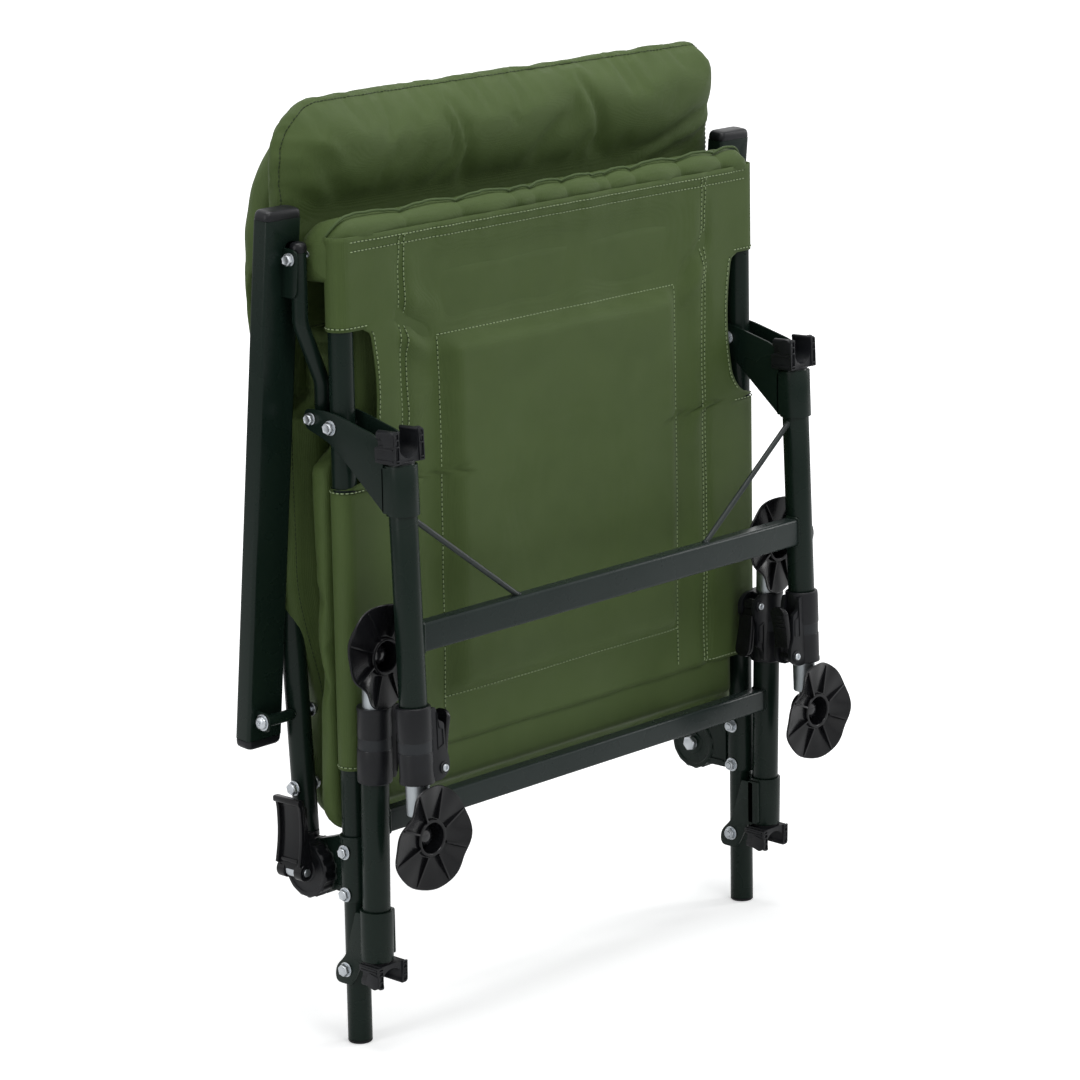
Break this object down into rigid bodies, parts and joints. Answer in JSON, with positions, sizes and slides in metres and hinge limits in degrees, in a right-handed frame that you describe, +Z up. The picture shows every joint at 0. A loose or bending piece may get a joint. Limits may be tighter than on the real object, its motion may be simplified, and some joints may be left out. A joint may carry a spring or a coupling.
{
  "type": "folding fishing chair",
  "caption": "Folding fishing chair, shown folded: padded seat and reclining padded back, link-driven armrests, two folding leg frames with telescopic legs, clamps and swivel feet.",
  "frame": {"origin": "under the middle of the folded chair, at the level of the stub ends it stands on", "axes": "+Z up along the seat tubes from the stub ends to the front edge of the seat, +Y from the seat towards the back cushion, +X to the right as seen from the side of the legs"},
  "size_m": [0.636, 0.2136, 0.836],
  "materials": {
    "frame_paint": "satin",
    "armrest_paint": "satin",
    "leg_tube_steel": "satin",
    "zinc_steel": "satin",
    "black_plastic": "satin",
    "padded_fabric": "matte",
    "panel_fabric": "matte"
  },
  "bodies": {
    "seat": {"seat_frame_tube": "frame_paint", "seat_cushion": "padded_fabric", "seat_panel": "panel_fabric", "stub_cap_right": "black_plastic", "stub_cap_left": "black_plastic", "hinge_sleeve_right": "black_plastic", "hinge_sleeve_left": "black_plastic", "recline_rod_right": "zinc_steel", "recline_rod_left": "zinc_steel"},
    "backrest": {"back_frame_tube": "frame_paint", "back_cushion": "padded_fabric", "headrest": "padded_fabric", "back_knuckle_right": "black_plastic", "back_knuckle_left": "black_plastic", "arm_pivot_bolt_right": "zinc_steel", "arm_pivot_bolt_left": "zinc_steel"},
    "front_legs": {"front_leg_frame": "frame_paint", "front_bracket_right": "frame_paint", "front_bracket_left": "frame_paint", "front_clip_right": "black_plastic", "front_clip_left": "black_plastic", "front_clamp_right": "black_plastic", "front_clamp_left": "black_plastic", "front_pivot_bolt_right": "zinc_steel", "front_pivot_bolt_left": "zinc_steel"},
    "rear_legs": {"rear_leg_frame": "frame_paint", "rear_bracket_right": "frame_paint", "rear_bracket_left": "frame_paint", "rear_clip_right": "black_plastic", "rear_clip_left": "black_plastic", "rear_clamp_right": "black_plastic", "rear_clamp_left": "black_plastic", "rear_pivot_bolt_right": "zinc_steel", "rear_pivot_bolt_left": "zinc_steel"},
    "armrest_right": {"armrest_right": "armrest_paint", "arm_cap_upper_right": "black_plastic", "arm_cap_lower_right": "black_plastic", "link_bolt_right": "zinc_steel"},
    "link_right": {"link_right": "frame_paint"},
    "recline_lever_right": {"recline_lever_right": "black_plastic"},
    "front_leg_inner_right": {"front_leg_inner_right": "leg_tube_steel"},
    "front_clamp_lever_right": {"front_clamp_lever_right": "black_plastic"},
    "front_foot_right": {"front_foot_right": "black_plastic"},
    "rear_leg_inner_right": {"rear_leg_inner_right": "leg_tube_steel"},
    "rear_clamp_lever_right": {"rear_clamp_lever_right": "black_plastic"},
    "rear_foot_right": {"rear_foot_right": "black_plastic"},
    "armrest_left": {"armrest_left": "armrest_paint", "arm_cap_upper_left": "black_plastic", "arm_cap_lower_left": "black_plastic", "link_bolt_left": "zinc_steel"},
    "link_left": {"link_left": "frame_paint"},
    "recline_lever_left": {"recline_lever_left": "black_plastic"},
    "front_leg_inner_left": {"front_leg_inner_left": "leg_tube_steel"},
    "front_clamp_lever_left": {"front_clamp_lever_left": "black_plastic"},
    "front_foot_left": {"front_foot_left": "black_plastic"},
    "rear_leg_inner_left": {"rear_leg_inner_left": "leg_tube_steel"},
    "rear_clamp_lever_left": {"rear_clamp_lever_left": "black_plastic"},
    "rear_foot_left": {"rear_foot_left": "black_plastic"}
  },
  "joints": [
    {"name": "back_recline", "type": "hinge", "parent": "seat", "child": "backrest", "pos_m": [0, 0.04489, 0.153], "axis": [-1, 0, 0], "range_deg": [0, 120]},
    {"name": "front_leg_fold", "type": "hinge", "parent": "seat", "child": "front_legs", "pos_m": [0, -0.00611, 0.562], "axis": [-1, 0, 0], "range_deg": [0, 90]},
    {"name": "rear_leg_fold", "type": "hinge", "parent": "seat", "child": "rear_legs", "pos_m": [0, -0.00611, 0.071], "axis": [1, 0, 0], "range_deg": [0, 58.5]},
    {"name": "armrest_swing_right", "type": "hinge", "parent": "backrest", "child": "armrest_right", "pos_m": [0.2975, 0.05789, 0.294], "axis": [-1, 0, 0], "range_deg": [-118.1, 0.1]},
    {"name": "link_swing_right", "type": "hinge", "parent": "armrest_right", "child": "link_right", "pos_m": [0.288, 0.01789, 0.709], "axis": [-1, 0, 0], "range_deg": [-0.1, 122.7]},
    {"name": "recline_lever_right_throw", "type": "hinge", "parent": "seat", "child": "recline_lever_right", "pos_m": [0.29, 0.04489, 0.156], "axis": [0, 1, 0], "range_deg": [0, 90]},
    {"name": "front_leg_telescope_right", "type": "slide", "parent": "front_legs", "child": "front_leg_inner_right", "axis": [0, -0.0366, -0.9993], "range_m": [0, 0.08]},
    {"name": "front_clamp_lever_right_throw", "type": "hinge", "parent": "front_legs", "child": "front_clamp_lever_right", "pos_m": [0.2405, -0.08511, 0.26518], "axis": [0, -0.9993, 0.0366], "range_deg": [0, 90]},
    {"name": "front_foot_tilt_right", "type": "hinge", "parent": "front_leg_inner_right", "child": "front_foot_right", "pos_m": [0.264, -0.0872, 0.20822], "axis": [1, 0, 0], "range_deg": [0, 90]},
    {"name": "rear_leg_telescope_right", "type": "slide", "parent": "rear_legs", "child": "rear_leg_inner_right", "axis": [0, -0.0209, 0.9998], "range_m": [0, 0.08]},
    {"name": "rear_clamp_lever_right_throw", "type": "hinge", "parent": "rear_legs", "child": "rear_clamp_lever_right", "pos_m": [0.2435, -0.0378, 0.30695], "axis": [0, 0.9998, 0.0209], "range_deg": [0, 90]},
    {"name": "rear_foot_tilt_right", "type": "hinge", "parent": "rear_leg_inner_right", "child": "rear_foot_right", "pos_m": [0.267, -0.03899, 0.36394], "axis": [-1, 0, 0], "range_deg": [0, 58.5]},
    {"name": "armrest_swing_left", "type": "hinge", "parent": "backrest", "child": "armrest_left", "pos_m": [-0.2975, 0.05789, 0.294], "axis": [-1, 0, 0], "range_deg": [-118.1, 0.1]},
    {"name": "link_swing_left", "type": "hinge", "parent": "armrest_left", "child": "link_left", "pos_m": [-0.288, 0.01789, 0.709], "axis": [-1, 0, 0], "range_deg": [-0.1, 122.7]},
    {"name": "recline_lever_left_throw", "type": "hinge", "parent": "seat", "child": "recline_lever_left", "pos_m": [-0.29, 0.04489, 0.156], "axis": [0, -1, 0], "range_deg": [0, 90]},
    {"name": "front_leg_telescope_left", "type": "slide", "parent": "front_legs", "child": "front_leg_inner_left", "axis": [0, -0.0366, -0.9993], "range_m": [0, 0.08]},
    {"name": "front_clamp_lever_left_throw", "type": "hinge", "parent": "front_legs", "child": "front_clamp_lever_left", "pos_m": [-0.2405, -0.08511, 0.26518], "axis": [0, 0.9993, -0.0366], "range_deg": [0, 90]},
    {"name": "front_foot_tilt_left", "type": "hinge", "parent": "front_leg_inner_left", "child": "front_foot_left", "pos_m": [-0.264, -0.0872, 0.20822], "axis": [1, 0, 0], "range_deg": [0, 90]},
    {"name": "rear_leg_telescope_left", "type": "slide", "parent": "rear_legs", "child": "rear_leg_inner_left", "axis": [0, -0.0209, 0.9998], "range_m": [0, 0.08]},
    {"name": "rear_clamp_lever_left_throw", "type": "hinge", "parent": "rear_legs", "child": "rear_clamp_lever_left", "pos_m": [-0.2435, -0.0378, 0.30695], "axis": [0, -0.9998, -0.0209], "range_deg": [0, 90]},
    {"name": "rear_foot_tilt_left", "type": "hinge", "parent": "rear_leg_inner_left", "child": "rear_foot_left", "pos_m": [-0.267, -0.03899, 0.36394], "axis": [-1, 0, 0], "range_deg": [0, 58.5]}
  ],
  "couplings": [
    {"joint": "rear_leg_fold", "follows": "front_leg_fold", "ratio": 0.65},
    {"joint": "armrest_swing_right", "follows": "back_recline", "ratio": -0.9833},
    {"joint": "link_swing_right", "follows": "back_recline", "ratio": 1.0211},
    {"joint": "front_foot_tilt_right", "follows": "front_leg_fold", "ratio": 1},
    {"joint": "rear_foot_tilt_right", "follows": "front_leg_fold", "ratio": 0.65},
    {"joint": "armrest_swing_left", "follows": "back_recline", "ratio": -0.9833},
    {"joint": "link_swing_left", "follows": "back_recline", "ratio": 1.0211},
    {"joint": "front_foot_tilt_left", "follows": "front_leg_fold", "ratio": 1},
    {"joint": "rear_foot_tilt_left", "follows": "front_leg_fold", "ratio": 0.65}
  ]
}
